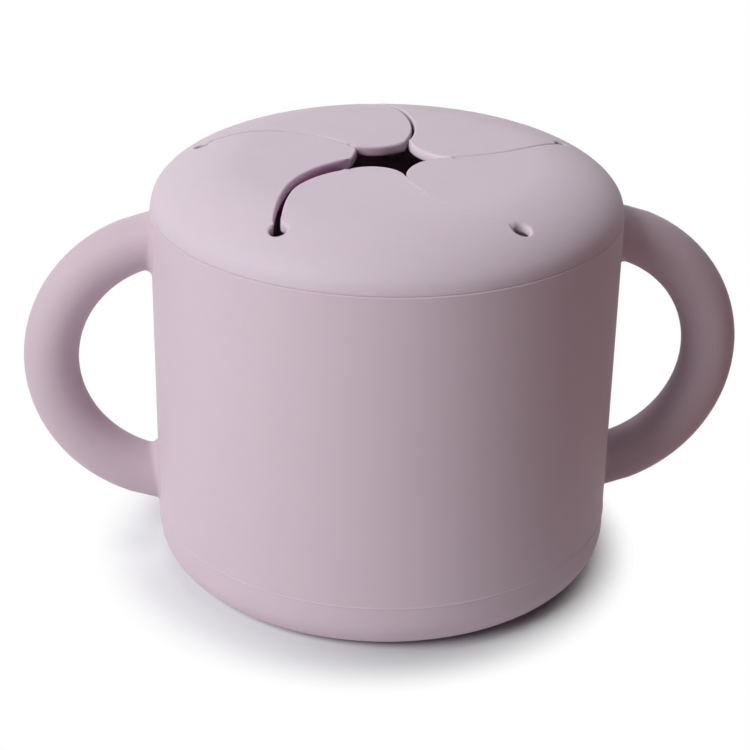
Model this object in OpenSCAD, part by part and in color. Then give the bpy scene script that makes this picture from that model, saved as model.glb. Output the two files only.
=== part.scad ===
// Toddler snack container: a soft rubber cup with two ring handles, and a
// stretch-on lid whose five curved flaps let a small hand in.
// Millimetres, +Z up. The origin is where the cup's own axis meets the table.
// The handles lie along X and the front faces -Y.

/* [Cup] */
// Outer diameter of the straight wall
cup_d = 90; // [84:1:100]
// Thickness of the wall
cup_wall = 4; // [3.6:0.1:5]
// Thickness of the floor
floor_t = 4; // [2:0.5:8]
// Height of the seam, where the lid's lower edge meets the wall
seam_h = 73; // [70:0.5:90]
// Radius of the round between the wall and the underside
base_round = 7; // [2:0.5:9]
// Radius of the round between the wall and the floor, inside
inner_round = 8; // [1:0.5:12]
// Height of the neck that the lid's skirt goes round
neck_h = 2.4; // [1:0.1:2.6]
// Thickness of the neck
neck_wall = 2; // [1.6:0.1:2.4]
// Height of the fine line that the two halves of the mould leave
parting_h = 10.4; // [9.5:0.1:10.5]
// How far that line stands out of the wall
parting_proud = 0.15; // [0.1:0.05:0.3]

/* [Handles] */
// Thickness of the round bar
handle_bar_d = 10.6; // [8:0.2:12]
// Diameter of the ring, measured at the middle of the bar
handle_ring_d = 51.4; // [46:0.2:52]
// How far a handle stands out from the wall
handle_out = 25.3; // [24:0.1:32]
// Height of the middle of the ring
handle_h = 41.2; // [40:0.2:42]

/* [Lid] */
// Height of the lid's top above the seam
lid_rise = 8.75; // [8:0.25:12]
// Width of the soft shoulder, from the wall to the flat top
shoulder_w = 17.7; // [12:0.1:20]
// Thickness of the top and of its flaps
lid_wall = 2.2; // [1.6:0.1:2.6]
// Thickness of the inner flange, which plugs into the cup
flange_wall = 1.5; // [1.2:0.1:2]
// How far the flange reaches below the seam
flange_drop = 5; // [2:0.5:12]
// Clearance between the lid and the neck, on every side
lid_fit = 0.3; // [0.2:0.05:0.5]

/* [Flaps] */
// Diameter of the round hole that ends each slit
relief_d = 3.2; // [2:0.1:4]
// Rubber left between a relief hole and the flange
relief_edge = 0.4; // [0.2:0.1:2]
// Radius of the arc that a slit follows
slit_r = 25; // [22:1:32]
// Distance from the axis at which the slits begin
slit_start_r = 6.5; // [5:0.5:8]
// How far the slits lag behind their relief holes there, in degrees
slit_lag_a = 28; // [20:1:34]
// Width of a slit
slit_gap = 0.5; // [0.5:0.05:0.8]
// Distance from the axis to the tips of the flaps
star_tip_r = 4.3; // [4:0.1:5]
// Distance from the axis to the points of the star between the tips
star_point_r = 7.6; // [7:0.1:9]
// How far a flap folds down, in degrees
push_a = 45; // [20:1:50]
// Depth of a flap's fold line below the top, at the middle of its root
fold_depth = 0.7; // [0.4:0.1:1]
// Clearance at a flap's root
root_gap = 0.45; // [0.45:0.05:0.7]

/* [Hidden] */
$fn = 96;
mauve = [0.80, 0.74, 0.79];
dusky_mauve = [0.72, 0.63, 0.70];

// Cup
cup_r = cup_d / 2;
bore_r = cup_r - cup_wall;
neck_r = bore_r + neck_wall;
neck_top = seam_h + neck_h;
parting_r = 0.3;

// Handles
bar_r = handle_bar_d / 2;
ring_r = handle_ring_d / 2;
handle_x = cup_r + handle_out - ring_r - bar_r;

// Lid
lid_top = seam_h + lid_rise;
flat_r = cup_r - shoulder_w;
skirt_r = neck_r + lid_fit;
groove_top = neck_top + lid_fit;
flange_r = bore_r - lid_fit;
flange_in_r = flange_r - flange_wall;
shoulder_steps = 12;
over = 1;

// Flaps
flap_n = 5;
flap_a = 360 / flap_n;
first_relief_a = -126;
relief_r = flange_in_r - relief_edge - relief_d / 2;
root_x = relief_r * cos(flap_a / 2);
fold_z = shoulder_z(root_x) - fold_depth;
notch_a = push_a / 2 + 1;
slit_in = slit_start_r * [cos(slit_lag_a), -sin(slit_lag_a)];
slit_out = [relief_r, 0];
slit_half = norm(slit_out - slit_in) / 2;
slit_dir = (slit_out - slit_in) / (2 * slit_half);
slit_centre = (slit_in + slit_out) / 2
    + sqrt(slit_r * slit_r - slit_half * slit_half) * [-slit_dir.y, slit_dir.x];
tip_c = (star_point_r * star_point_r - star_tip_r * star_tip_r)
    / (2 * (star_point_r * cos(flap_a / 2) - star_tip_r));

// Height of the lid's outer surface at a distance r from the axis. The top is
// flat, and the shoulder falls to the wall as a quarter of an ellipse.
function shoulder_z(r) =
    r <= flat_r ? lid_top
                : seam_h + lid_rise * sqrt(1 - pow((r - flat_r) / shoulder_w, 2));

// Distances from the axis at which the shoulder is drawn, from the top outwards
shoulder_radii = [for (i = [0 : shoulder_steps])
    flat_r + shoulder_w * sin(90 * i / shoulder_steps)];

// The shoulder's points between the flat top and a limit, lowered by drop
function shoulder_points(limit, drop) = concat(
    [for (r = shoulder_radii) if (r < limit) [r, shoulder_z(r) - drop]],
    [[limit, shoulder_z(limit) - drop]]);

function reversed(points) = [for (i = [len(points) - 1 : -1 : 0]) points[i]];

// ---------------------------------------------------------------- the cup

module cup_outline() {
    square([cup_r - base_round, seam_h]);
    translate([0, base_round])
        square([cup_r, seam_h - base_round]);
    translate([cup_r - base_round, base_round])
        circle(r = base_round);
    translate([cup_r + parting_proud - parting_r, parting_h])
        circle(r = parting_r);
    square([neck_r, neck_top]);
}

module cup_hollow() {
    hollow_h = neck_top + over - floor_t;
    translate([0, floor_t]) {
        square([bore_r - inner_round, hollow_h]);
        translate([0, inner_round])
            square([bore_r, hollow_h - inner_round]);
        translate([bore_r - inner_round, inner_round])
            circle(r = inner_round);
    }
}

module cup_shell() {
    color(mauve)
        rotate_extrude()
            difference() {
                cup_outline();
                cup_hollow();
            }
}

// A ring on its edge, cut where it meets the wall. side is 1 for +X, -1 for -X.
module handle(side) {
    color(dusky_mauve)
        difference() {
            translate([side * handle_x, 0, handle_h])
                rotate([90, 0, 0])
                    rotate_extrude()
                        translate([ring_r, 0])
                            circle(r = bar_r);
            translate([0, 0, -over])
                cylinder(r = cup_r, h = lid_top + 2 * over);
            rotate_extrude()
                translate([cup_r + parting_proud - parting_r, parting_h])
                    circle(r = parting_r);
        }
}

module handle_left() {
    handle(-1);
}

module handle_right() {
    handle(1);
}

// ---------------------------------------------------------------- the lid

// The whole lid before its top is slit: top, shoulder, skirt, groove and flange
module lid_blank() {
    rotate_extrude()
        polygon(concat(
            [[0, lid_top]],
            shoulder_points(cup_r, 0),
            [[skirt_r, seam_h],
             [skirt_r, groove_top],
             [flange_r, groove_top],
             [flange_r, seam_h - flange_drop],
             [flange_in_r, seam_h - flange_drop]],
            reversed(shoulder_points(flange_in_r, lid_wall)),
            [[0, lid_top - lid_wall]]));
}

// The domed sheet that the flaps are cut from
module lid_top_sheet() {
    rotate_extrude()
        polygon(concat(
            [[0, lid_top]],
            shoulder_points(relief_r, 0),
            reversed(shoulder_points(relief_r, lid_wall)),
            [[0, lid_top - lid_wall]]));
}

// The space on the inner side of the root of the flap at angle a. Its face is
// upright above the fold line, and below it leans by lean, inwards where lean
// is positive.
module inside_root(a, lean, gap) {
    rotate([0, 0, a])
        translate([root_x - gap, 0, fold_z])
            rotate([90, 0, 0])
                linear_extrude(height = 2 * cup_d, center = true)
                    polygon([[0, 0], [0, cup_d], [-cup_d, cup_d], [-cup_d, -cup_d],
                             [-cup_d * tan(lean), -cup_d]]);
}

// The five-sided hole in the lid, wider below so that the flaps can fold down
module root_hole() {
    intersection() {
        intersection_for (i = [0 : flap_n - 1])
            inside_root(root_angle(i), -notch_a, 0);
        translate([0, 0, shoulder_z(relief_r) - lid_wall - over])
            cylinder(r = relief_r, h = lid_rise);
    }
}

function relief_angle(i) = first_relief_a + i * flap_a;
function root_angle(i) = relief_angle(i) + flap_a / 2;

module relief_holes() {
    for (i = [0 : flap_n - 1])
        rotate([0, 0, relief_angle(i)])
            translate([relief_r, 0, seam_h])
                cylinder(d = relief_d, h = lid_rise + over);
}

module lid_ring() {
    color(mauve)
        difference() {
            lid_blank();
            root_hole();
            relief_holes();
        }
}

// ---------------------------------------------------------------- the flaps

// The round column whose wall is slit i, made wider by grow
module slit_column(i, grow) {
    rotate([0, 0, relief_angle(i)])
        translate([slit_centre.x, slit_centre.y, seam_h])
            cylinder(r = slit_r + grow, h = lid_rise + over);
}

// The star between the tips: a round hole less the five round tips
module star() {
    difference() {
        translate([0, 0, seam_h])
            cylinder(r = star_point_r, h = lid_rise + over);
        for (i = [0 : flap_n - 1])
            rotate([0, 0, root_angle(i) - slit_lag_a])
                translate([tip_c, 0, seam_h - over])
                    cylinder(r = tip_c - star_tip_r, h = lid_rise + 3 * over);
    }
}

// The flap between relief hole i and the next one
module flap(i) {
    color(mauve)
        difference() {
            intersection() {
                lid_top_sheet();
                inside_root(root_angle(i), notch_a, root_gap);
                slit_column(i, -slit_gap / 2);
            }
            slit_column(i + 1, slit_gap / 2);
            relief_holes();
            star();
        }
}

module flap_front() {
    flap(0);
}

module flap_right_front() {
    flap(1);
}

module flap_right_back() {
    flap(2);
}

module flap_left_back() {
    flap(3);
}

module flap_left_front() {
    flap(4);
}

cup_shell();
handle_left();
handle_right();
lid_ring();
flap_front();
flap_right_front();
flap_right_back();
flap_left_back();
flap_left_front();
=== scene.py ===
# %% [markdown]
# # A soft snack cup for small hands
# The real object is two rubber mouldings. The lower one is a cup with two ring
# handles. The upper one is a lid that stretches over the cup's neck, and its
# top is slit into five flaps, so that a hand can reach in but the snacks stay.
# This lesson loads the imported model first, because every new shape has to sit
# where its solid sits.

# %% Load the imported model
from math import acos, atan2, cos, hypot, pi, radians, sin, sqrt, tau

import bmesh
import bpy
from mathutils import Matrix, Vector


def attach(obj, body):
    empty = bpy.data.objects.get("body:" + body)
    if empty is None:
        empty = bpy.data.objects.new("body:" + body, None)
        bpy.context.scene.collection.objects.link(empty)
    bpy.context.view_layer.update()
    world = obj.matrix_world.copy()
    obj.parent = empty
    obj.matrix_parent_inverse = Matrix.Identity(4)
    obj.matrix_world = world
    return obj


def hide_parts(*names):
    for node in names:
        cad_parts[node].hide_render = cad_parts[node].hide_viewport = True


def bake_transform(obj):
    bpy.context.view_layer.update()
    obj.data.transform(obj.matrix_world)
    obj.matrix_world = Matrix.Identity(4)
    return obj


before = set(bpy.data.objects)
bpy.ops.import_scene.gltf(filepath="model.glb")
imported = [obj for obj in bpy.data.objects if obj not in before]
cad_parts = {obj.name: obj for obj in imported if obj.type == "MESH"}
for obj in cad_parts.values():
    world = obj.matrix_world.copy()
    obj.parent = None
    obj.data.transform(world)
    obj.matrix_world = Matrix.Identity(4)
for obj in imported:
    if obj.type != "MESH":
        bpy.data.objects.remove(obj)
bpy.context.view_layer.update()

# %% [markdown]
# ## Sizes
# Everything is drawn in millimetres, because that is how a mould maker would
# write it down, and because bevels of a third of a millimetre are safer to
# compute there. Each mesh is scaled to metres when it is finished.

# %% Sizes of the cup, the handles and the lid
CUP_R, BORE_R, NECK_R = 45.0, 41.0, 43.0
SEAM_H, NECK_TOP, FLOOR_T = 73.0, 75.4, 4.0
BASE_ROUND, INNER_ROUND = 7.0, 8.0
PARTING_H, PARTING_PROUD = 10.4, 0.15

RING_R, BAR_R, HANDLE_X, HANDLE_H = 25.7, 5.3, 39.3, 41.2

LID_TOP, FLAT_R, SHOULDER_W, LID_RISE = 81.75, 27.3, 17.7, 8.75
LID_WALL, SKIRT_R, GROOVE_TOP = 2.2, 43.3, 75.7
FLANGE_R, FLANGE_IN_R, FLANGE_BOTTOM = 40.7, 39.2, 68.0

RELIEF_R = 37.2  # how far out the solids' relief holes lie
ROOT_X = RELIEF_R * cos(pi / 5)

MM, PER_METRE = 0.001, 1000  # a millimetre in metres, and a metre in millimetres
print(f"cup {2 * CUP_R:.0f} mm across, lid top at {LID_TOP:.2f} mm, roots {ROOT_X:.2f} mm out")

# %% [markdown]
# ## Small drawing tools
# A lathe maker draws half a section and turns it. The same is done here: a few
# corner points are joined, the corners are rounded with a vertex bevel, and a
# spin makes the round body. An arc is made the same way, by spinning one point.

# %% Draw a line of points, round a corner, draw an arc
def line(bm, points):
    """Joins a few (x, y, z) points and returns their vertices."""
    verts = [bm.verts.new(p) for p in points]
    for a, b in zip(verts, verts[1:]):
        bm.edges.new((a, b))
    return verts


def round_corner(bm, vert, radius, segments):
    """Rounds one corner of a drawn line."""
    bmesh.ops.bevel(bm, geom=[vert], offset=radius, offset_type="OFFSET", affect="VERTICES",
                    segments=segments, profile=0.5, material=-1)


def arc(bm, start, centre, goal, steps, clockwise=False):
    """Spins a vertex about an upright axis as far as the goal. Returns the new vertices."""
    a, b = start.co - centre, goal - centre
    angle = (atan2(b.y, b.x) - atan2(a.y, a.x)) % tau - (tau if clockwise else 0)
    before = len(bm.verts)
    bmesh.ops.spin(bm, geom=[start], cent=centre, axis=(0, 0, 1), angle=angle, steps=steps,
                   use_duplicate=False)
    bm.verts.ensure_lookup_table()
    return list(bm.verts)[before:]


def straight(bm, start, goal):
    """Draws a straight edge from a vertex and returns its new end."""
    end = bmesh.ops.extrude_vert_indiv(bm, verts=[start])["verts"][0]
    end.co = goal
    return [end]


# %% Turn a drawn section round the upright axis
def turn(bm, steps):
    """Spins everything drawn so far by a full turn, and closes the seam and the poles."""
    geom = list(bm.verts) + list(bm.edges)
    bmesh.ops.spin(bm, geom=geom, cent=(0, 0, 0), axis=(0, 0, 1), angle=tau, steps=steps,
                   use_merge=True, use_duplicate=False)
    bmesh.ops.remove_doubles(bm, verts=bm.verts, dist=1e-4)


# %% [markdown]
# ## The finish of the rubber
# Silicone rubber from a blasted mould is matte. It has a very fine grain, its
# pigment is a little cloudy, and it blooms slightly at grazing light. A plain
# colour would look like paper, so the colour, the roughness and the bump each
# follow their own noise. Where the lid is slit, light soaks into the thin edge
# and leaves it again through the cut face: violet where the face looks away from
# the key lamp, pale where it looks towards it. That light and shade is painted
# into the colour of the cut faces, in three bands from left to right, tuned for
# the front view. The handles' colour is a painted shade, about 8% darker than
# the cup's. Two small classes keep the node maths readable: one wraps a socket,
# and one adds nodes.

# %% Write node maths as plain sums
class Value:
    """One output socket. A sum on it adds the Math nodes that it needs."""

    def __init__(self, paint, socket):
        self.paint, self.socket = paint, socket

    def _math(self, operation, a, b):
        return self.paint.node("ShaderNodeMath", {"operation": operation}, {0: a, 1: b})

    def __add__(self, other):
        return self._math("ADD", self, other)

    def __mul__(self, other):
        return self._math("MULTIPLY", self, other)

    __radd__ = __add__


class Paint:
    """The nodes of a material, or of the sky, under construction."""

    def __init__(self, owner):
        self.owner = owner
        owner.use_nodes = True
        self.tree = owner.node_tree
        self.tree.nodes.clear()

    def node(self, kind, settings=None, sockets=None, output=0):
        """Adds one node: its settings first, then the values or links of its sockets."""
        node = self.tree.nodes.new(kind)
        for name, value in (settings or {}).items():
            setattr(node, name, value)
        for key, value in (sockets or {}).items():
            if isinstance(value, Value):
                self.tree.links.new(value.socket, node.inputs[key])
            else:
                node.inputs[key].default_value = value
        return Value(self, node.outputs[output]) if node.outputs else None


# %% Mix the rubber, with painted shade on the handles and painted light and shade on the lid's cut faces
PAINTED_CUT_BANDS = [(-0.0065, -0.0045), (0.001, 0.004)]  # where the painted light and shade of the cut faces changes, along X in metres


def rubber(name, pale, deep, painted_cut_shading=None):
    """A matte, faintly cloudy silicone between two close colours. The last argument gives painted
    light and shade for its cut faces: the colours on the left, in the middle and on the right."""
    paint = Paint(bpy.data.materials.new(name))
    place = paint.node("ShaderNodeTexCoord", output="Object")
    cloud = paint.node("ShaderNodeTexNoise", {}, {"Vector": place, "Scale": 38.0, "Detail": 3.0})
    flow = paint.node("ShaderNodeTexNoise", {}, {"Vector": place, "Scale": 240.0, "Detail": 4.0})
    grain = paint.node("ShaderNodeTexNoise", {}, {"Vector": place, "Scale": 3200.0, "Detail": 2.0})
    colour = paint.node("ShaderNodeMix", {"data_type": "RGBA"},
                        {0: cloud * 0.75 + flow * 0.25, 6: (*pale, 1), 7: (*deep, 1)}, output=2)
    # Painted light and shade on the cut faces: a bright violet on the left, a dark violet shade in
    # the middle and a pale light on the right, blended in by the cut attribute.
    if painted_cut_shading:
        across = paint.node("ShaderNodeSeparateXYZ", {}, {0: place}, output="X")
        painted_cut_colour = (*painted_cut_shading[0], 1)
        for (start, end), band_painted_colour in zip(PAINTED_CUT_BANDS, painted_cut_shading[1:]):
            step = paint.node("ShaderNodeMapRange", {}, {
                "Value": across, "From Min": start, "From Max": end})
            painted_cut_colour = paint.node("ShaderNodeMix", {"data_type": "RGBA"},
                              {0: step, 6: painted_cut_colour, 7: (*band_painted_colour, 1)}, output=2)
        cut = paint.node("ShaderNodeAttribute", {"attribute_name": "cut"}, output="Fac")
        colour = paint.node("ShaderNodeMix", {"data_type": "RGBA"}, {0: cut, 6: colour, 7: painted_cut_colour},
                            output=2)
    bump = paint.node("ShaderNodeBump", {}, {"Strength": 0.35, "Distance": 0.00004,
                                            "Height": grain + flow * 0.6})
    surface = paint.node("ShaderNodeBsdfPrincipled", {}, {
        "Base Color": colour, "Roughness": 0.54 + flow * 0.12 + grain * 0.05, "Normal": bump,
        "Specular IOR Level": 0.3, "Sheen Weight": 0.06, "Sheen Roughness": 0.4,
        "Subsurface Weight": 0.15, "Subsurface Radius": (1.0, 0.5, 0.55),
        "Subsurface Scale": 0.0015})
    paint.node("ShaderNodeOutputMaterial", {}, {"Surface": surface})
    return paint.owner


cup_finish = rubber("cup_mauve_rubber", (0.608, 0.49, 0.56), (0.583, 0.469, 0.538))
# The handles are the same rubber as the cup, moulded in one with it; their colours are made about
# 8% darker, as painted shade.
handle_rubber_painted_shade = rubber("handle_mauve_rubber_painted_shade", (0.56, 0.444, 0.511), (0.536, 0.425, 0.49))
# The lid's cut faces get painted light and shade: bright violet on the left, dark violet painted
# shade in the middle, pale painted light on the right.
lid_rubber_and_painted_cut_light = rubber("lid_mauve_rubber_and_painted_cut_light", (0.608, 0.513, 0.585), (0.586, 0.492, 0.564),
                    painted_cut_shading=((0.81, 0.53, 0.755), (0.50, 0.345, 0.455), (0.86, 0.73, 0.83)))
print("finishes:", [m.name for m in bpy.data.materials])


# %% Finish a mesh, and hide the CAD part it stands for
SHARP_A = radians(40)  # faces that meet at more than this angle keep a crisp edge


def piece(name, bm, finish, node):
    """Makes an object of a drawn mesh. It stands for one CAD node."""
    bmesh.ops.recalc_face_normals(bm, faces=bm.faces)
    bmesh.ops.scale(bm, vec=(MM, MM, MM), verts=bm.verts)
    mesh = bpy.data.meshes.new(name)
    bm.to_mesh(mesh)
    bm.free()
    mesh.materials.append(finish)
    mesh.shade_smooth()
    mesh.set_sharp_from_angle(angle=SHARP_A)
    obj = bpy.data.objects.new(name, mesh)
    bpy.context.scene.collection.objects.link(obj)
    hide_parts(node)
    open_edges = sum(1 for n in edge_uses(mesh) if n != 2)
    print(f"{name}: {len(mesh.vertices)} points, {open_edges} open edges")
    return obj


def edge_uses(mesh):
    """How many faces meet at each edge: 2 everywhere on a closed shell."""
    uses = [0] * len(mesh.edges)
    for loop in mesh.loops:
        uses[loop.edge_index] += 1
    return uses


# %% [markdown]
# ## The cup
# The cup is a moulded tub with a soft lower corner. Its two mould halves leave
# a fine raised line just above that corner, and a thinner neck at the top holds
# the lid. Half a section is drawn from the middle of the underside to the middle
# of the floor inside, its corners are rounded, and it is turned.

# %% The cup's section, turned
PARTING_HALF = 0.26  # half the height of the raised line
BEAD_SUPPORT, SEAM_SUPPORT = 0.1, 0.5  # extra points this far off keep the wall's shading flat
CREST_ROUND, SEAM_ROUND, NECK_ROUND = 0.14, 0.25, 0.5
CUP_STEPS = 200

bm = bmesh.new()
below, above = PARTING_H - PARTING_HALF, PARTING_H + PARTING_HALF
section = line(bm, [(x, 0, z) for x, z in (
    (0, 0), (CUP_R, 0), (CUP_R, below - BEAD_SUPPORT), (CUP_R, below),
    (CUP_R + PARTING_PROUD, PARTING_H), (CUP_R, above), (CUP_R, above + BEAD_SUPPORT),
    (CUP_R, SEAM_H - SEAM_SUPPORT), (CUP_R, SEAM_H), (NECK_R, SEAM_H),
    (NECK_R, NECK_TOP), (BORE_R, NECK_TOP), (BORE_R, FLOOR_T), (0, FLOOR_T))])
for corner, radius, segments in ((1, BASE_ROUND, 14), (4, CREST_ROUND, 3), (8, SEAM_ROUND, 4),
                                 (10, NECK_ROUND, 3), (11, NECK_ROUND, 3),
                                 (12, INNER_ROUND, 12)):
    round_corner(bm, section[corner], radius, segments)
turn(bm, CUP_STEPS)
cup = piece("cup", bm, cup_finish, "cup_shell")
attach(cup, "cup")

# %% [markdown]
# ## The handles
# Each handle is a round bar bent into a ring, moulded in one with the wall. A
# circle is spun about the ring's own middle for the part outside the wall. Its
# two ends are then extruded ring by ring, each one wider and closer to the wall,
# which makes the soft corner that a mould has there. The last ring is inside the
# wall, so the joint stays closed.

# %% A ring handle with soft roots
BAR_SIDES, RING_STEPS, FILLET_STEPS = 48, 72, 6
FREE_A = radians(68)  # how far the plain ring reaches, up and down from its outermost point
OUTER_FILLET, FILLET_GROWTH = 0.5, 1.5  # the corner's radius, and how much more inside the ring
WALL_SINK, END_DEPTH = 0.05, 1.5  # how deep in the wall the corner and the bar's end lie


def handle_point(side, end, around, bar, wall):
    """Where a bar of a given radius meets a round wall. around is the angle about the bar."""
    y = bar * sin(around)
    reach = RING_R + bar * cos(around)
    x = sqrt(wall * wall - y * y)
    turn_a = acos((x - HANDLE_X) / reach)
    return Vector((side * x, y, HANDLE_H + end * reach * sin(turn_a)))


def ring_handle(side):
    """A handle's mesh: the plain ring, then both ends carried into the wall. side is 1 for +X."""
    bm = bmesh.new()
    loop = bmesh.ops.create_circle(bm, segments=BAR_SIDES, radius=BAR_R)["verts"]
    bmesh.ops.rotate(bm, verts=loop, cent=(0, 0, 0), matrix=Matrix.Rotation(FREE_A, 3, "Y"))
    middle = Vector((RING_R * cos(FREE_A), 0, -RING_R * sin(FREE_A)))
    bmesh.ops.translate(bm, verts=loop, vec=middle)
    bmesh.ops.spin(bm, geom=loop + list(bm.edges), cent=(0, 0, 0), axis=(0, -1, 0),
                   angle=2 * FREE_A, steps=RING_STEPS, use_duplicate=False)
    bmesh.ops.scale(bm, verts=bm.verts, vec=(side, 1, 1))
    bmesh.ops.translate(bm, verts=bm.verts, vec=(side * HANDLE_X, 0, HANDLE_H))
    for end in (-1, 1):
        edges = [e for e in bm.edges if e.is_boundary and end * (e.verts[0].co.z - HANDLE_H) > 0]
        for step in range(FILLET_STEPS + 2):
            t = step / FILLET_STEPS * pi / 2
            made = bmesh.ops.extrude_edge_only(bm, edges=edges)["geom"]
            edges = [g for g in made if isinstance(g, bmesh.types.BMEdge) and g.is_boundary]
            for vert in {v for e in edges for v in e.verts}:
                x, z = side * vert.co.x - HANDLE_X, vert.co.z - HANDLE_H
                y = vert.co.y
                off_ring = sqrt(x * x + z * z) - RING_R
                wide = sqrt(off_ring ** 2 + y * y)
                around = (1 if y >= 0 else -1) * acos(off_ring / wide)
                soft = OUTER_FILLET + FILLET_GROWTH * (1 - cos(around)) / 2
                if step > FILLET_STEPS:
                    vert.co = handle_point(side, end, around, BAR_R, CUP_R - END_DEPTH)
                else:
                    vert.co = handle_point(side, end, around, BAR_R + soft * (1 - cos(t)),
                                           CUP_R - WALL_SINK + soft * (1 - sin(t)))
        bmesh.ops.edgeloop_fill(bm, edges=edges)
    return bm


for name, side in (("left", -1), ("right", 1)):
    bm = ring_handle(side)
    handle = piece("handle_ring_" + name, bm, handle_rubber_painted_shade, "handle_" + name)
    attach(handle, "cup")


# %% [markdown]
# ## The lid's top, drawn flat
# The lid is a flat top that rolls over in a wide soft shoulder. Five curved
# slits run from a star in the middle to five round holes, which keep the slits
# from tearing. A flap hangs on the line between two holes. The rim and the flaps
# are first drawn flat as one puzzle, so that their edges fit: each outline is a
# chain of spun arcs, filled with one face and extruded down by the lid's
# thickness. Only then are they cut into small cells and raised to the dome.

# %% The dome, and where the arcs of the puzzle meet
def lid_z(r):
    """Height of the lid's outer surface at a distance from the axis."""
    u = min(1.0, max(0.0, (r - FLAT_R) / SHOULDER_W))
    return SEAM_H + LID_RISE * sqrt(1 - u * u)


def smooth(t):
    """A soft step from 0 to 1."""
    t = min(1.0, max(0.0, t))
    return t * t * (3 - 2 * t)


def polar(r, a):
    return Vector((r * cos(a), r * sin(a), 0))


def meet(c1, r1, c2, r2, near):
    """The crossing of two circles that is nearer to a point."""
    d = (c2 - c1).length
    along = (d * d + r1 * r1 - r2 * r2) / (2 * d)
    out = sqrt(r1 * r1 - along * along)
    unit = (c2 - c1) / d
    side = Vector((-unit.y, unit.x, 0))
    return min((c1 + unit * along + side * out, c1 + unit * along - side * out),
               key=lambda p: (p - near).length)


def circle_through(p, q, r):
    """Centre and radius of the circle through three points."""
    a, b = q - p, r - p
    d = 2 * (a.x * b.y - a.y * b.x)
    x = (b.y * a.length_squared - a.y * b.length_squared) / d
    y = (a.x * b.length_squared - b.x * a.length_squared) / d
    centre = Vector((p.x + x, p.y + y, 0))
    return centre, (centre - p).length


def spot(x, y):
    return Vector((x, y, 0))


# %% The puzzle: five holes, five slits and five tips
HOLES = [polar(r, radians(a)) for r, a in ((37.5, -126), (37.9, -57.1), (36.5, 17.2),
                                           (37.2, 90), (37.5, 159))]
HOLE_RS = [1.5, 1.45, 1.15, 1.5, 1.3]
EASE = [0.9, 1.1, 0.5, 0.5, 0.5]  # how softly each slit opens into its hole
ENDS = [spot(-7.6, -1.5), spot(2.65, -7.7), spot(11.8, 0.55), spot(4.75, 10.4),
        spot(-5.4, 6.1)]  # the inner end of each slit
# For each plain slit: a point half way along its middle line, and its width
SLITS = {1: (spot(7.7, -22.4), 0.03), 2: (spot(22.2, 2.9), 0.25),
         3: (spot(6.6, 17.4), 0.55), 4: (spot(-15.4, 15.6), 0.22)}
# Three points on the tip of each flap
TIPS = [(spot(2.63, -7.7), spot(-1.43, -2.36), spot(-7.15, -2.45)),
        (spot(11.8, 0.55), spot(4.8, -2.75), spot(2.65, -7.7)),
        (spot(4.95, 10.4), spot(6.4, 5.2), spot(11.8, 0.55)),
        (spot(-4.85, 7.4), spot(-0.5, 6.95), spot(4.6, 10.2)),
        (spot(-7.6, -1.5), spot(-6.35, 2.3), spot(-5.4, 6.1))]


# Each wall of a slit is two arcs that run on into each other: the middle of the arc near the
# hole, the point where they join, and the middle of the arc near the star. The two are one
# circle in most slits, but the first slit stands open, and its walls bend.
OPEN_WALLS = [(spot(79.18, -38.6), spot(-19.05, -13.98), spot(-4.18, -17.71)),
              (spot(54.98, -37.24), spot(-20.0, -14.6), spot(5.01, -22.15))]
HOLE_SIDE, JOINT, STAR_SIDE = range(3)


def slit_walls(k):
    """The walls of a slit, the one on the inside of its bend first."""
    if k not in SLITS:
        return OPEN_WALLS
    middle, width = SLITS[k]
    centre, r = circle_through(HOLES[k], middle, ENDS[k])
    out = (middle - centre).normalized()
    return [(centre, centre + out * (r + side * width / 2), centre) for side in (-1, 1)]


def wall_arc(wall, end):
    """Centre and radius of a wall's arc at one of its ends."""
    return wall[end], (wall[JOINT] - wall[end]).length


print("radii near the holes:", [round(wall_arc(slit_walls(k)[0], HOLE_SIDE)[1], 1)
                                for k in range(5)])

# %% [markdown]
# ## Cutting and raising
# A filled outline is one large face, which can't bend. Planes cut it into cells
# of a millimetre or two, and each cell's corners are raised to the dome. The
# cells beside a curved edge are slivers, and slivers shade badly, so the exact
# normals of the dome are stored on the outer skin.

# %% Fill, thicken, soften and cut an outline
LEVEL_TOL, CIRCLE_TOL = 1e-4, 2e-3  # how exactly an edge has to lie at a height and on a circle
CELL, REACH = 1.5, 42  # the size of a cell, and how far the grid runs each way


def soft_corner(c1, r1, side_1, c2, r2, side_2, ease, near):
    """A small circle that touches two others near their crossing, outside (1) or inside (-1).
    Returns its centre and the two points where it touches."""
    middle = meet(c1, r1 + side_1 * ease, c2, r2 + side_2 * ease, near)
    return middle, c1 + (middle - c1).normalized() * r1, c2 + (middle - c2).normalized() * r2


def on_circle(bm, z, centre, radius):
    """The edges at a height whose ends both lie on a circle."""
    return [e for e in bm.edges if all(
        abs(v.co.z - z) < LEVEL_TOL
        and abs(hypot(v.co.x - centre.x, v.co.y - centre.y) - radius) < CIRCLE_TOL
        for v in e.verts)]


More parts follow.
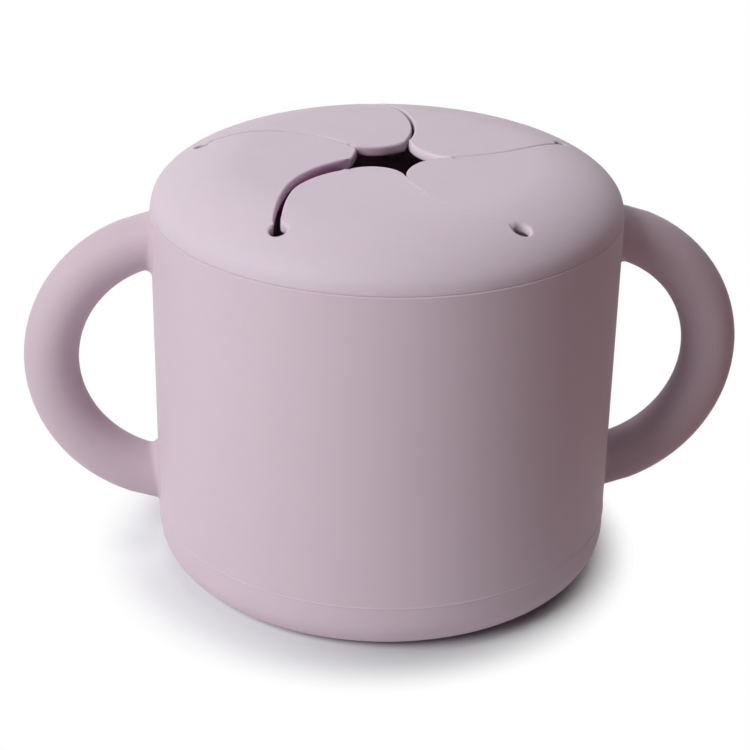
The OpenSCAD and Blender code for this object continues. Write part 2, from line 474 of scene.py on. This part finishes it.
def plate(bm, soft):
    """Makes a thick plate of the closed outline in bm. Each row of soft is an arc's centre and
    radius, and how softly its edges are rounded on top and below."""
    face = bmesh.ops.edgeloop_fill(bm, edges=list(bm.edges))["faces"]
    made = bmesh.ops.extrude_face_region(bm, geom=face, use_keep_orig=True)["geom"]
    lower = [g for g in made if isinstance(g, bmesh.types.BMVert)]
    bmesh.ops.translate(bm, verts=lower, vec=(0, 0, -LID_WALL))
    bmesh.ops.recalc_face_normals(bm, faces=bm.faces)
    for z, column in ((0, 2), (-LID_WALL, 3)):
        for size in sorted({row[column] for row in soft}, reverse=True):
            edges = dict.fromkeys(e for row in soft if row[column] == size
                                  for e in on_circle(bm, z, row[0], row[1]))
            bmesh.ops.bevel(bm, geom=list(edges), offset=size, offset_type="OFFSET",
                            affect="EDGES", segments=3, profile=0.5, material=-1)


def cut_cells(bm):
    """Cuts a flat plate along a square grid, the same one for every piece."""
    for normal in ((1, 0, 0), (0, 1, 0)):
        for i in range(int(-REACH / CELL), int(REACH / CELL) + 1):
            bmesh.ops.bisect_plane(bm, geom=list(bm.verts) + list(bm.edges) + list(bm.faces),
                                   dist=1e-4, plane_co=Vector(normal) * i * CELL, plane_no=normal)


def add_turned(bm, part, a):
    """Moves a part's mesh, turned by an angle, into a larger one."""
    bmesh.ops.rotate(part, verts=part.verts, cent=(0, 0, 0), matrix=Matrix.Rotation(a, 3, "Z"))
    mesh = bpy.data.meshes.new("part")
    part.to_mesh(mesh)
    part.free()
    bm.from_mesh(mesh)
    bpy.data.meshes.remove(mesh)


# %% Store the dome's own normals on the skin
SKIN_TOL, SLOPE_STEP = 0.004, 0.02
FACES_OUT = 0.6  # how well a face has to agree with the dome's normal to take it


def skin_normals(mesh, height):
    """Sets the exact normal at each corner on the surface that height(x, y) gives, in mm."""
    normals = [Vector(n.vector) for n in mesh.corner_normals]
    exact = {}
    for vert in mesh.vertices:
        x, y, z = vert.co * PER_METRE
        r = hypot(x, y)
        if r < CUP_R - SLOPE_STEP and abs(z - height(x, y)) < SKIN_TOL:
            e = SLOPE_STEP
            exact[vert.index] = Vector((height(x - e, y) - height(x + e, y),
                                        height(x, y - e) - height(x, y + e), 2 * e)).normalized()
    for polygon in mesh.polygons:
        for corner in polygon.loop_indices:
            n = exact.get(mesh.loops[corner].vertex_index)
            if n is not None and n.dot(polygon.normal) > FACES_OUT:
                normals[corner] = n
    mesh.normals_split_custom_set(normals)
    print(f"{mesh.name}: {len(exact)} points on the skin")


CUT_FADE = 0.5  # depth over which a cut face takes on its painted light and shade
CUT_AT_HOLE, CUT_FROM_HOLE = 0.3, 0.7  # how much is marked at a hole, and how much more away
HOLE_CLEAR, HOLE_FADE = 2, 1.5  # where the marks grow, measured from the middle of a hole
CUT_LEFT_X, CUT_BACK_Y, CUT_BACK_Y_LEFT = -6, 9, 1  # marks end at a Y, and sooner left of this X


def mark_painted_cut_light(mesh, height):
    """Notes on each point how much painted light and shade it takes as part of a cut face: 0 on
    the skin, 1 below it. Little is marked at the holes, and nothing at the slits at the back."""
    cut = mesh.attributes.new("cut", "FLOAT", "POINT")
    for vert in mesh.vertices:
        x, y, z = vert.co * PER_METRE
        from_hole = min(hypot(x - hole.x, y - hole.y) for hole in HOLES)
        back = CUT_BACK_Y if x > CUT_LEFT_X else CUT_BACK_Y_LEFT
        if hypot(x, y) < PLATE_R - 1 and y < back:
            away = smooth((from_hole - HOLE_CLEAR) / HOLE_FADE)
            cut.data[vert.index].value = (smooth((height(x, y) - z) / CUT_FADE)
                                          * (CUT_AT_HOLE + CUT_FROM_HOLE * away))


# %% [markdown]
# ## The lid's rim
# The rim is everything that the flaps hang from. It is drawn in five sectors,
# each from the middle of one hole to the middle of the next. Its outer edge, a
# circle, is then extruded on through the shoulder, the skirt that grips the
# cup's neck, the groove and the inner flange, until it meets its own underside.

# %% How a flap and its sector of the rim lie, turned so that the root is on the +X side
PLATE_R, LEDGE = 41.0, 1.3
SOFT = [0.45, 0.02, 0.3, 0.4, 0.32]  # how soft the edges of each slit are on top
UNDER_SHARE = 1.2  # and how much softer they are below
HOLE_SOFT = [0.7, 0.8, 0.3, 0.4, 0.5]  # how soft each hole's mouth is
FLARE = 0.8  # how soft the holes are below
TIP_SOFT, TIP_UNDER, TIP_EASE = 0.5, 0.6, 0.9  # a tip's edge on top and below, and its corners


class Layout:
    """Slit i lies on the -Y side of the root, and slit k, the next one, on the +Y side."""

    def __init__(self, i):
        k = (i + 1) % 5
        root = HOLES[k] - HOLES[i]
        self.a = atan2(-root.x, root.y)
        turn_back = Matrix.Rotation(-self.a, 3, "Z")
        self.hole_0, self.hole_1 = turn_back @ HOLES[i], turn_back @ HOLES[k]
        self.hole_r_0, self.hole_r_1 = HOLE_RS[i], HOLE_RS[k]
        self.ease_0, self.ease_1 = EASE[i], EASE[k]
        self.hole_soft_0, self.hole_soft_1 = HOLE_SOFT[i], HOLE_SOFT[k]
        self.x = self.hole_0.x
        self.wall_0 = [turn_back @ p for p in slit_walls(i)[0]]
        self.wall_1 = [turn_back @ p for p in slit_walls(k)[1]]
        self.end_0, self.end_1 = turn_back @ ENDS[i], turn_back @ ENDS[k]
        self.tip, self.r_tip = circle_through(*(turn_back @ p for p in TIPS[i]))
        self.soft_0, self.soft_1 = SOFT[i], SOFT[k]
        # where the flap's side starts
        x, (centre, r) = self.x - LEDGE, wall_arc(self.wall_1, HOLE_SIDE)
        self.ledge = spot(x, centre.y - sqrt(r * r - (x - centre.x) ** 2))


def rim_sector(lay):
    """A sector of the rim, from the middle of one hole to the middle of the next."""
    bm = bmesh.new()
    out_0, out_1 = lay.hole_0.normalized(), lay.hole_1.normalized()
    slit, slit_r = wall_arc(lay.wall_1, HOLE_SIDE)
    ease, touch_slit, touch_hole = soft_corner(slit, slit_r, 1, lay.hole_1, lay.hole_r_1,
                                               1, lay.ease_1, spot(lay.x, 0))
    start = bm.verts.new(lay.hole_0 + out_0 * lay.hole_r_0)
    path = arc(bm, start, lay.hole_0, lay.hole_0 + spot(0, lay.hole_r_0), 14)
    path = straight(bm, path[-1], spot(lay.x, lay.ledge.y))
    path = straight(bm, path[-1], lay.ledge)
    path = arc(bm, path[-1], slit, touch_slit, 8)
    path = arc(bm, path[-1], ease, touch_hole, 5, clockwise=True)
    path = arc(bm, path[-1], lay.hole_1, lay.hole_1 + out_1 * lay.hole_r_1, 12)
    path = straight(bm, path[-1], out_1 * PLATE_R)
    path = arc(bm, path[-1], Vector(), out_0 * PLATE_R, 36, clockwise=True)
    bm.edges.new((path[-1], start))
    plate(bm, [(lay.hole_0, lay.hole_r_0, lay.hole_soft_0, FLARE),
               (lay.hole_1, lay.hole_r_1, lay.hole_soft_1, FLARE),
               (ease, lay.ease_1, lay.hole_soft_1, FLARE),
               (slit, slit_r, lay.soft_1, lay.soft_1 * UNDER_SHARE)])
    # the upright faces between sectors, and round the outside, go: the lid runs on there
    inner = []
    for face in bm.faces:
        if abs(face.normal.z) < 0.1:
            middle = face.calc_center_median()
            radial = any(abs(out.cross(middle).z) < 1e-3 and out.dot(middle) > 0
                         for out in (out_0, out_1))
            if radial or hypot(middle.x, middle.y) > PLATE_R - 0.2:
                inner.append(face)
    bmesh.ops.delete(bm, geom=inner, context="FACES")
    return bm


layouts = [Layout(i) for i in range(5)]
bm = bmesh.new()
for lay in layouts:
    add_turned(bm, rim_sector(lay), lay.a)
bmesh.ops.remove_doubles(bm, verts=bm.verts, dist=2e-3)
cut_cells(bm)
print("rim plate:", len(bm.faces), "cells,",
      sum(1 for e in bm.edges if e.is_boundary), "open edges")

# %% Carry the rim's outer edge through the shoulder, the skirt and the flange
UNDER_MARGIN = 0.06  # the plate's underside is drawn in from here on, to end at the flange
EDGE_DRAW = 0.14  # how strongly the last millimetre of the shoulder is drawn in
SHOULDER_STOPS = (0.12, 0.24, 0.36, 0.48, 0.6, 0.71, 0.8, 0.88, 0.94, 0.98, 0.995)


def ring_loop(bm, z):
    """The open circle at a height, as edges."""
    return [e for e in bm.edges if e.is_boundary and all(abs(v.co.z - z) < 1e-3 for v in e.verts)]


lower = [v for v in bm.verts if v.co.z < -LID_WALL + 1e-3]
limit = FLANGE_IN_R - UNDER_MARGIN
squeeze = (FLANGE_IN_R - limit) / (PLATE_R - limit)
for vert in lower:
    r = hypot(vert.co.x, vert.co.y)
    if r > limit:
        to = limit + (r - limit) * squeeze
        vert.co.x, vert.co.y = vert.co.x * to / r, vert.co.y * to / r
open_top = ring_loop(bm, 0)
for vert in bm.verts:
    vert.co.z += lid_z(hypot(vert.co.x, vert.co.y))

start_a = (PLATE_R - FLAT_R) / SHOULDER_W
shoulder = [FLAT_R + SHOULDER_W * (start_a + (1 - start_a) * t) for t in SHOULDER_STOPS]
profile = [(r - EDGE_DRAW * max(0, r - CUP_R + 1) ** 2, lid_z(r)) for r in shoulder] + [
    # the lid's lower edge
    (CUP_R - 0.14, SEAM_H + 0.22), (CUP_R - 0.14, SEAM_H + 0.1), (CUP_R - 0.17, SEAM_H + 0.04),
    (CUP_R - 0.24, SEAM_H + 0.02), (SKIRT_R + 0.3, SEAM_H + 0.02), (SKIRT_R + 0.06, SEAM_H + 0.12),
    # the groove for the neck
    (SKIRT_R, SEAM_H + 0.35), (SKIRT_R, GROOVE_TOP - 0.2), (SKIRT_R - 0.2, GROOVE_TOP),
    (FLANGE_R + 0.2, GROOVE_TOP), (FLANGE_R, GROOVE_TOP - 0.2),
    # the flange, down its outside and up its inside
    (FLANGE_R, FLANGE_BOTTOM + 0.3), (FLANGE_R - 0.1, FLANGE_BOTTOM + 0.08),
    (FLANGE_R - 0.35, FLANGE_BOTTOM), (FLANGE_IN_R + 0.35, FLANGE_BOTTOM),
    (FLANGE_IN_R + 0.1, FLANGE_BOTTOM + 0.08), (FLANGE_IN_R, FLANGE_BOTTOM + 0.3),
    (FLANGE_IN_R, GROOVE_TOP + 0.3), (FLANGE_IN_R, lid_z(FLANGE_IN_R) - LID_WALL)]
edges = open_top
for r, z in profile:
    made = bmesh.ops.extrude_edge_only(bm, edges=edges)["geom"]
    edges = [g for g in made if isinstance(g, bmesh.types.BMEdge) and g.is_boundary]
    for vert in {v for e in edges for v in e.verts}:
        now = hypot(vert.co.x, vert.co.y)
        vert.co = Vector((vert.co.x * r / now, vert.co.y * r / now, z))
bmesh.ops.remove_doubles(bm, verts=bm.verts, dist=4e-3)
rim = piece("lid_rim", bm, lid_rubber_and_painted_cut_light, "lid_ring")
mark_painted_cut_light(rim.data, lambda x, y: lid_z(hypot(x, y)))
skin_normals(rim.data, lambda x, y: lid_z(hypot(x, y)))
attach(rim, "lid")

# %% [markdown]
# ## The five flaps
# In the mould the flaps are all alike, but soft rubber doesn't stay flat once it
# is slit: the front flap hangs a little lower than its neighbours, and one slit
# stands open. Each flap is the same chain of arcs with its own slit widths, and
# it can droop a little along its first slit.

# %% One flap, drawn flat with its root on the +X side
def flap_plate(lay):
    """A flap's outline, made into a thick plate."""
    bm = bmesh.new()
    (hole_part_1, joint_1, star_part_1), (hole_part_0, joint_0, star_part_0) = (
        (wall_arc(wall, HOLE_SIDE), wall[JOINT], wall_arc(wall, STAR_SIDE))
        for wall in (lay.wall_1, lay.wall_0))
    corner_1 = soft_corner(*star_part_1, 1, lay.tip, lay.r_tip, -1, TIP_EASE, lay.end_1)
    corner_0 = soft_corner(lay.tip, lay.r_tip, -1, *star_part_0, -1, TIP_EASE, lay.end_0)
    hole_end = soft_corner(*hole_part_0, -1, lay.hole_0, lay.hole_r_0, 1, lay.ease_0, Vector())
    start = bm.verts.new(spot(lay.x, lay.ledge.y))
    path = straight(bm, start, lay.ledge)
    path = arc(bm, path[-1], hole_part_1[0], joint_1, 12, clockwise=True)
    path = arc(bm, path[-1], star_part_1[0], corner_1[1], 16, clockwise=True)
    path = arc(bm, path[-1], corner_1[0], corner_1[2], 5)
    path = arc(bm, path[-1], lay.tip, corner_0[1], 14)
    path = arc(bm, path[-1], corner_0[0], corner_0[2], 5)
    path = arc(bm, path[-1], star_part_0[0], joint_0, 18)
    path = arc(bm, path[-1], hole_part_0[0], hole_end[1], 14)
    path = arc(bm, path[-1], hole_end[0], hole_end[2], 5)
    path = arc(bm, path[-1], lay.hole_0, lay.hole_0 + spot(0, lay.hole_r_0), 8, clockwise=True)
    bm.edges.new((path[-1], start))
    plate(bm, [(*hole_part_1, lay.soft_1, lay.soft_1 * UNDER_SHARE),
               (*star_part_1, lay.soft_1, lay.soft_1 * UNDER_SHARE),
               (corner_1[0], TIP_EASE, TIP_SOFT, TIP_UNDER),
               (lay.tip, lay.r_tip, TIP_SOFT, TIP_UNDER),
               (corner_0[0], TIP_EASE, TIP_SOFT, TIP_UNDER),
               (*star_part_0, lay.soft_0, lay.soft_0 * UNDER_SHARE),
               (*hole_part_0, lay.soft_0, lay.soft_0 * UNDER_SHARE),
               (hole_end[0], lay.ease_0, lay.hole_soft_0, FLARE),
               (lay.hole_0, lay.hole_r_0, lay.hole_soft_0, FLARE)])
    return bm


FREE_REACH, HALF_WIDTH = 22, 16  # the droop is full this far in from the root and to the side


def droop(x, y, along):
    """How far a flap stands off the dome at a point of its own drawing. along is the most, which
    it reaches at its first slit."""
    free = smooth((ROOT_X - LEDGE - x) / FREE_REACH)
    side = min(1.0, max(-1.0, y / HALF_WIDTH))
    return free * (along * (1 - side) / 2)


# %% Raise and place the flaps
FLAPS = {"front": -1.1, "right_front": 0.0, "right_back": 0.0, "left_back": 0.0,
         "left_front": -0.15}  # how far each one stands off the dome at its first slit
for lay, (name, along) in zip(layouts, FLAPS.items()):

    def height(x, y, lay=lay, along=along):
        u, v = x * cos(lay.a) + y * sin(lay.a), y * cos(lay.a) - x * sin(lay.a)
        return lid_z(hypot(x, y)) + droop(u, v, along)

    bm = bmesh.new()
    add_turned(bm, flap_plate(lay), lay.a)
    cut_cells(bm)
    for vert in bm.verts:
        vert.co.z += height(vert.co.x, vert.co.y)
    flap = piece("lid_flap_" + name, bm, lid_rubber_and_painted_cut_light, "flap_" + name)
    mark_painted_cut_light(flap.data, height)
    skin_normals(flap.data, height)
    root = polar(lay.x, lay.a) * MM
    root.z = lid_z(lay.x) * MM
    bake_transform(flap)

# %% [markdown]
# ## Floor, light and camera
# A white table and three round soft lamps: the key in front on the left, a weak
# one behind, and a weak one overhead. Close to the cup the table shows its own
# shading, so the cup stands in its shadow; there its colour is also painted
# darker towards the right, a painted shadow. Further out it fades to pure white,
# but only where the camera or a reflection looks at it, so no extra light falls
# on the cup. The light that the table throws back has a colour of its own, which
# the camera never sees: it is dimmer and redder on the right. It was tuned for the
# front view only, and it makes the right side look too red from the side.

# %% A white table that keeps the shadow, with a painted shadow near the cup on the right
SHADOW_MIDDLE = (-0.0035, -0.0015, 0)
SHADOW_R, WHITE_R = 0.043, 0.056  # the table's own shading ends between these distances
BOUNCE_LEFT, BOUNCE_RIGHT = (0.85, 0.85, 0.87, 1), (0.45, 0.25, 0.245, 1)
BOUNCE_FROM, BOUNCE_TO = 0.02, 0.10
# What the camera sees of the table near the cup: darker towards the right, a painted shadow.
SHOWN_LEFT, SHOWN_RIGHT_PAINTED_SHADOW = (0.86, 0.87, 0.90, 1), (0.60, 0.61, 0.63, 1)
PAINTED_SHADOW_FROM, PAINTED_SHADOW_TO = -0.035, 0.01


def seen_directly(paint):
    """1 for what the camera, a reflection or a clear material sees, 0 for light that bounces."""
    return (paint.node("ShaderNodeLightPath", output="Is Camera Ray")
            + paint.node("ShaderNodeLightPath", output="Is Glossy Ray")
            + paint.node("ShaderNodeLightPath", output="Is Transmission Ray"))


def table_with_painted_shadow():
    """The table's finish. What it shows near the cup, darkened to the right as a painted shadow,
    and the light it throws back differ.
    """
    paint = Paint(bpy.data.materials.new("white_table"))
    place = paint.node("ShaderNodeTexCoord", output="Object")
    away = paint.node("ShaderNodeVectorMath", {"operation": "DISTANCE"},
                      {0: place, 1: SHADOW_MIDDLE}, output="Value")
    fade = paint.node("ShaderNodeMapRange", {"interpolation_type": "SMOOTHSTEP"},
                      {"Value": away, "From Min": SHADOW_R, "From Max": WHITE_R})
    speck = paint.node("ShaderNodeTexNoise", {}, {"Vector": place, "Scale": 60.0})
    across = paint.node("ShaderNodeSeparateXYZ", {}, {0: place}, output="X")
    right = paint.node("ShaderNodeMapRange", {"interpolation_type": "SMOOTHSTEP"},
                       {"Value": across, "From Min": BOUNCE_FROM, "From Max": BOUNCE_TO})
    bounce = paint.node("ShaderNodeMix", {"data_type": "RGBA"}, {
        0: right, 6: BOUNCE_LEFT, 7: BOUNCE_RIGHT}, output=2)
    # Painted shadow: the table's colour near the cup darkens from left to right.
    front = paint.node("ShaderNodeMapRange", {"interpolation_type": "SMOOTHSTEP"},
                       {"Value": across, "From Min": PAINTED_SHADOW_FROM, "From Max": PAINTED_SHADOW_TO})
    near = paint.node("ShaderNodeMix", {"data_type": "RGBA"}, {
        0: front, 6: SHOWN_LEFT, 7: SHOWN_RIGHT_PAINTED_SHADOW}, output=2)
    colour = paint.node("ShaderNodeMix", {"data_type": "RGBA"}, {
        0: paint.node("ShaderNodeLightPath", output="Is Diffuse Ray"),
        6: near, 7: bounce}, output=2)
    board = paint.node("ShaderNodeBsdfPrincipled", {}, {
        "Base Color": colour, "Roughness": 0.8 + speck * 0.1, "Specular IOR Level": 0.2})
    white = paint.node("ShaderNodeEmission", {}, {"Color": (1, 1, 1, 1), "Strength": 1.0})
    surface = paint.node("ShaderNodeMixShader", {}, {
        0: seen_directly(paint) * fade, 1: board, 2: white})
    paint.node("ShaderNodeOutputMaterial", {}, {"Surface": surface})
    return paint.owner


bm = bmesh.new()
bmesh.ops.create_grid(bm, x_segments=8, y_segments=8, size=4.0)
mesh = bpy.data.meshes.new("table")
bm.to_mesh(mesh)
bm.free()
mesh.materials.append(table_with_painted_shadow())
table = bpy.data.objects.new("table", mesh)
bpy.context.scene.collection.objects.link(table)


# %% Lamps and sky
LAMP_SIZE, LAMP_AWAY, AIM = 0.7, 1.2, Vector((0, 0, 0.04))


def lamp(name, azimuth, elevation, power, colour):
    """A round soft lamp that points at the middle of the cup."""
    a, e = radians(azimuth), radians(elevation)
    place = Vector((cos(e) * cos(a), cos(e) * sin(a), sin(e))) * LAMP_AWAY
    data = bpy.data.lights.new(name, "AREA")
    data.shape, data.size, data.energy, data.color = "DISK", LAMP_SIZE, power, colour
    obj = bpy.data.objects.new(name, data)
    bpy.context.scene.collection.objects.link(obj)
    obj.location = place
    obj.rotation_euler = (AIM - place).to_track_quat("-Z", "Y").to_euler()


lamp("key", 213, 38, 11.9, (0.965, 1.0, 0.985))
lamp("behind", 100, 38, 3.4, (1, 1, 1))
lamp("top", 0, 88, 3.2, (1, 0.96, 0.98))

sky = bpy.data.worlds.new("sky")
bpy.context.scene.world = sky
paint = Paint(sky)
dim = paint.node("ShaderNodeBackground", {}, {"Color": (1.0, 0.4, 0.35, 1), "Strength": 0.025})
white = paint.node("ShaderNodeBackground", {}, {"Color": (1, 1, 1, 1), "Strength": 1.0})
shown = paint.node("ShaderNodeMixShader", {}, {0: seen_directly(paint), 1: dim, 2: white})
paint.node("ShaderNodeOutputWorld", {}, {"Surface": shown})

# %% The camera
LENS, SENSOR = 94.83, 36.0
EYE, LOOK, ROLL = (-0.03540, -0.35052, 0.20910), (0.08586, 0.89381, -0.44045), radians(1.06)

camera_data = bpy.data.cameras.new("camera")
camera_data.lens, camera_data.sensor_width, camera_data.sensor_fit = LENS, SENSOR, "HORIZONTAL"
camera_data.clip_start, camera_data.clip_end = 0.02, 20.0
camera = bpy.data.objects.new("camera", camera_data)
bpy.context.scene.collection.objects.link(camera)
forward = Vector(LOOK).normalized()
level = forward.cross(Vector((0, 0, 1))).normalized()
right = cos(ROLL) * level + sin(ROLL) * level.cross(forward)
up = right.cross(forward)
pose = Matrix((right, up, -forward)).transposed().to_4x4()
pose.translation = Vector(EYE)
camera.matrix_world = pose
bpy.context.scene.camera = camera
bpy.context.scene.view_settings.view_transform = "Standard"
